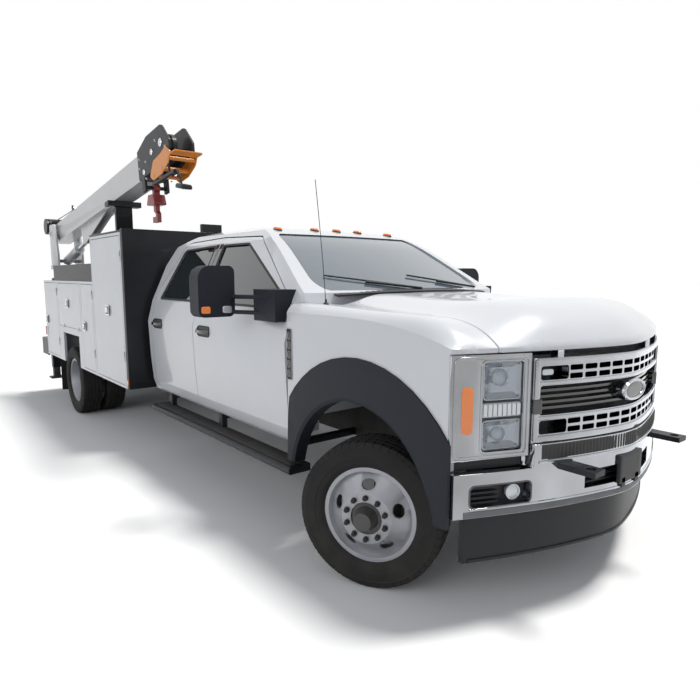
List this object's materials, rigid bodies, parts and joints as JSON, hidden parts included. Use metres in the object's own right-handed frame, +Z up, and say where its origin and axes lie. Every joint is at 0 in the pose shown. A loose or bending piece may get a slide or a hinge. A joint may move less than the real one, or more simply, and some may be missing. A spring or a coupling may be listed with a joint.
{
  "type": "service crane truck",
  "caption": "Crew-cab work truck with a side-door service body, a deck bumper with drop legs and a slewing telescopic crane boom.",
  "frame": {"origin": "on the ground under the middle of the truck's box", "axes": "+X to the truck's front, +Y to its left, +Z up"},
  "size_m": [7.87, 2.76, 2.8887],
  "materials": {
    "white_paint": "gloss",
    "black_paint": "satin",
    "chassis_black": "satin",
    "chrome": "polished",
    "black_plastic": "grained",
    "tyre": "matt",
    "rim_paint": "satin",
    "glass": "clear",
    "lamp": "clear",
    "seat_fabric": "woven",
    "inside_plastic": "grained",
    "cast_metal": "as cast",
    "steel": "ground",
    "boom_paint": "gloss",
    "hook_red": "satin"
  },
  "bodies": {
    "chassis": {"frame_ladder": "chassis_black", "front_axle": "chassis_black", "rear_axle": "chassis_black", "springs": "chassis_black", "engine_block": "cast_metal", "driveline_and_tank": "chassis_black", "cab_shell": "white_paint", "cab_glass": "glass", "cab_seats": "seat_fabric", "dashboard": "inside_plastic", "front_fenders": "white_paint", "fender_flares": "black_plastic", "headlamps": "lamp", "grille": "chrome", "front_bumper": "chrome", "air_dam_and_hooks": "black_plastic", "running_boards": "black_plastic", "side_boxes": "white_paint", "bulkhead": "black_paint", "bed_floor": "chassis_black", "top_trays": "black_paint", "rear_bumper": "black_paint", "mud_flaps": "black_plastic", "crane_pedestal": "black_paint"},
    "knuckle_left": {"knuckle_left": "chassis_black"},
    "knuckle_right": {"knuckle_right": "chassis_black"},
    "front_wheel_left": {"front_tyre_left": "tyre", "front_rim_left": "rim_paint"},
    "front_wheel_right": {"front_tyre_right": "tyre", "front_rim_right": "rim_paint"},
    "rear_wheels_left": {"rear_tyres_left": "tyre", "rear_rims_left": "rim_paint"},
    "rear_wheels_right": {"rear_tyres_right": "tyre", "rear_rims_right": "rim_paint"},
    "front_door_left": {"front_door_left": "white_paint", "mirror_left": "black_plastic"},
    "front_door_right": {"front_door_right": "white_paint", "mirror_right": "black_plastic"},
    "rear_door_left": {"rear_door_left": "white_paint"},
    "rear_door_right": {"rear_door_right": "white_paint"},
    "hood": {"hood": "white_paint"},
    "tailgate": {"tailgate": "white_paint"},
    "stabilizer_leg_left": {"stabilizer_leg_left": "chassis_black"},
    "stabilizer_leg_right": {"stabilizer_leg_right": "chassis_black"},
    "turret": {"turret": "boom_paint"},
    "boom": {"boom_main": "boom_paint", "winch": "black_paint"},
    "boom_extension": {"boom_extension": "boom_paint", "boom_head": "black_paint"},
    "lift_barrel": {"lift_barrel": "boom_paint"},
    "lift_rod": {"lift_rod": "steel"},
    "hook_block": {"hook_block": "hook_red"},
    "body_door_tall_left": {"body_door_tall_left": "white_paint"},
    "body_door_tall_right": {"body_door_tall_right": "white_paint"},
    "body_door_mid_left": {"body_door_mid_left": "white_paint"},
    "body_door_mid_right": {"body_door_mid_right": "white_paint"},
    "body_door_wheel_left": {"body_door_wheel_left": "white_paint"},
    "body_door_wheel_right": {"body_door_wheel_right": "white_paint"},
    "body_door_rear_left": {"body_door_rear_left": "white_paint"},
    "body_door_rear_right": {"body_door_rear_right": "white_paint"}
  },
  "joints": [
    {"name": "steer_left", "type": "hinge", "parent": "chassis", "child": "knuckle_left", "pos_m": [2.865, 0.8, 0.4055], "axis": [0, 0, 1], "range_deg": [-63, 7]},
    {"name": "spin_front_left", "type": "hinge", "parent": "knuckle_left", "child": "front_wheel_left", "pos_m": [2.79458, 0.93244, 0.4055], "axis": [-0.4695, 0.8829, 0], "continuous": true},
    {"name": "spin_rear_left", "type": "hinge", "parent": "chassis", "child": "rear_wheels_left", "pos_m": [-2.291, 0.94, 0.4055], "axis": [0, 1, 0], "continuous": true},
    {"name": "front_door_left_hinge", "type": "hinge", "parent": "chassis", "child": "front_door_left", "pos_m": [2.175, 1.021, 1], "axis": [0, 0, -1], "range_deg": [0, 65]},
    {"name": "rear_door_left_hinge", "type": "hinge", "parent": "chassis", "child": "rear_door_left", "pos_m": [0.8105, 1.021, 1], "axis": [0, 0, -1], "range_deg": [0, 65]},
    {"name": "body_door_tall_left_hinge", "type": "hinge", "parent": "chassis", "child": "body_door_tall_left", "pos_m": [-0.337, 1.195, 1], "axis": [0, 0, -1], "range_deg": [0, 90]},
    {"name": "body_door_mid_left_hinge", "type": "hinge", "parent": "chassis", "child": "body_door_mid_left", "pos_m": [-1.317, 1.195, 1], "axis": [0, 0, -1], "range_deg": [0, 90]},
    {"name": "body_door_rear_left_hinge", "type": "hinge", "parent": "chassis", "child": "body_door_rear_left", "pos_m": [-2.887, 1.195, 1], "axis": [0, 0, -1], "range_deg": [0, 90]},
    {"name": "body_door_wheel_left_hinge", "type": "hinge", "parent": "chassis", "child": "body_door_wheel_left", "pos_m": [-2.32, 1.195, 1.046], "axis": [-1, 0, 0], "range_deg": [0, 90]},
    {"name": "stabilizer_left_slide", "type": "slide", "parent": "chassis", "child": "stabilizer_leg_left", "axis": [0, 0, -1], "range_m": [0, 0.2]},
    {"name": "steer_right", "type": "hinge", "parent": "chassis", "child": "knuckle_right", "pos_m": [2.865, -0.8, 0.4055], "axis": [0, 0, 1], "range_deg": [-63, 7]},
    {"name": "spin_front_right", "type": "hinge", "parent": "knuckle_right", "child": "front_wheel_right", "pos_m": [2.93542, -0.93244, 0.4055], "axis": [-0.4695, 0.8829, 0], "continuous": true},
    {"name": "spin_rear_right", "type": "hinge", "parent": "chassis", "child": "rear_wheels_right", "pos_m": [-2.291, -0.94, 0.4055], "axis": [0, 1, 0], "continuous": true},
    {"name": "front_door_right_hinge", "type": "hinge", "parent": "chassis", "child": "front_door_right", "pos_m": [2.175, -1.021, 1], "axis": [0, 0, 1], "range_deg": [0, 65]},
    {"name": "rear_door_right_hinge", "type": "hinge", "parent": "chassis", "child": "rear_door_right", "pos_m": [0.8105, -1.021, 1], "axis": [0, 0, 1], "range_deg": [0, 65]},
    {"name": "body_door_tall_right_hinge", "type": "hinge", "parent": "chassis", "child": "body_door_tall_right", "pos_m": [-0.337, -1.195, 1], "axis": [0, 0, 1], "range_deg": [0, 90]},
    {"name": "body_door_mid_right_hinge", "type": "hinge", "parent": "chassis", "child": "body_door_mid_right", "pos_m": [-1.317, -1.195, 1], "axis": [0, 0, 1], "range_deg": [0, 90]},
    {"name": "body_door_rear_right_hinge", "type": "hinge", "parent": "chassis", "child": "body_door_rear_right", "pos_m": [-2.887, -1.195, 1], "axis": [0, 0, 1], "range_deg": [0, 90]},
    {"name": "body_door_wheel_right_hinge", "type": "hinge", "parent": "chassis", "child": "body_door_wheel_right", "pos_m": [-2.32, -1.195, 1.046], "axis": [1, 0, 0], "range_deg": [0, 90]},
    {"name": "stabilizer_right_slide", "type": "slide", "parent": "chassis", "child": "stabilizer_leg_right", "axis": [0, 0, -1], "range_m": [0, 0.2]},
    {"name": "hood_hinge", "type": "hinge", "parent": "chassis", "child": "hood", "pos_m": [2.435, 0, 1.555], "axis": [0, -1, 0], "range_deg": [0, 50]},
    {"name": "tailgate_hinge", "type": "hinge", "parent": "chassis", "child": "tailgate", "pos_m": [-3.59, 0, 0.966], "axis": [0, -1, 0], "range_deg": [0, 90]},
    {"name": "turret_slew", "type": "hinge", "parent": "chassis", "child": "turret", "pos_m": [-3.275, -0.94, 1.745], "axis": [0, 0, 1], "range_deg": [-190, 190]},
    {"name": "boom_lift", "type": "hinge", "parent": "turret", "child": "boom", "pos_m": [-3.425, -0.94, 2.215], "axis": [0, -1, 0], "range_deg": [0, 73]},
    {"name": "boom_extend", "type": "slide", "parent": "boom", "child": "boom_extension", "axis": [0.9925, 0, 0.1219], "range_m": [0, 2.2]},
    {"name": "lift_barrel_pivot", "type": "hinge", "parent": "turret", "child": "lift_barrel", "pos_m": [-3.315, -0.94, 1.855], "axis": [0, -1, 0], "range_deg": [0, 64]},
    {"name": "lift_rod_slide", "type": "slide", "parent": "lift_barrel", "child": "lift_rod", "axis": [0.9777, 0, 0.2098], "range_m": [0, 0.402]},
    {"name": "hook_swing", "type": "hinge", "parent": "boom_extension", "child": "hook_block", "pos_m": [-0.02682, -0.94, 2.43779], "axis": [0, -1, 0], "range_deg": [-74, 1]}
  ],
  "couplings": [
    {"joint": "steer_right", "follows": "steer_left", "ratio": 1},
    {"joint": "lift_barrel_pivot", "follows": "boom_lift", "ratio": 0.8744},
    {"joint": "lift_rod_slide", "follows": "boom_lift", "m_per_rad": 0.3141},
    {"joint": "hook_swing", "follows": "boom_lift", "ratio": -1}
  ]
}
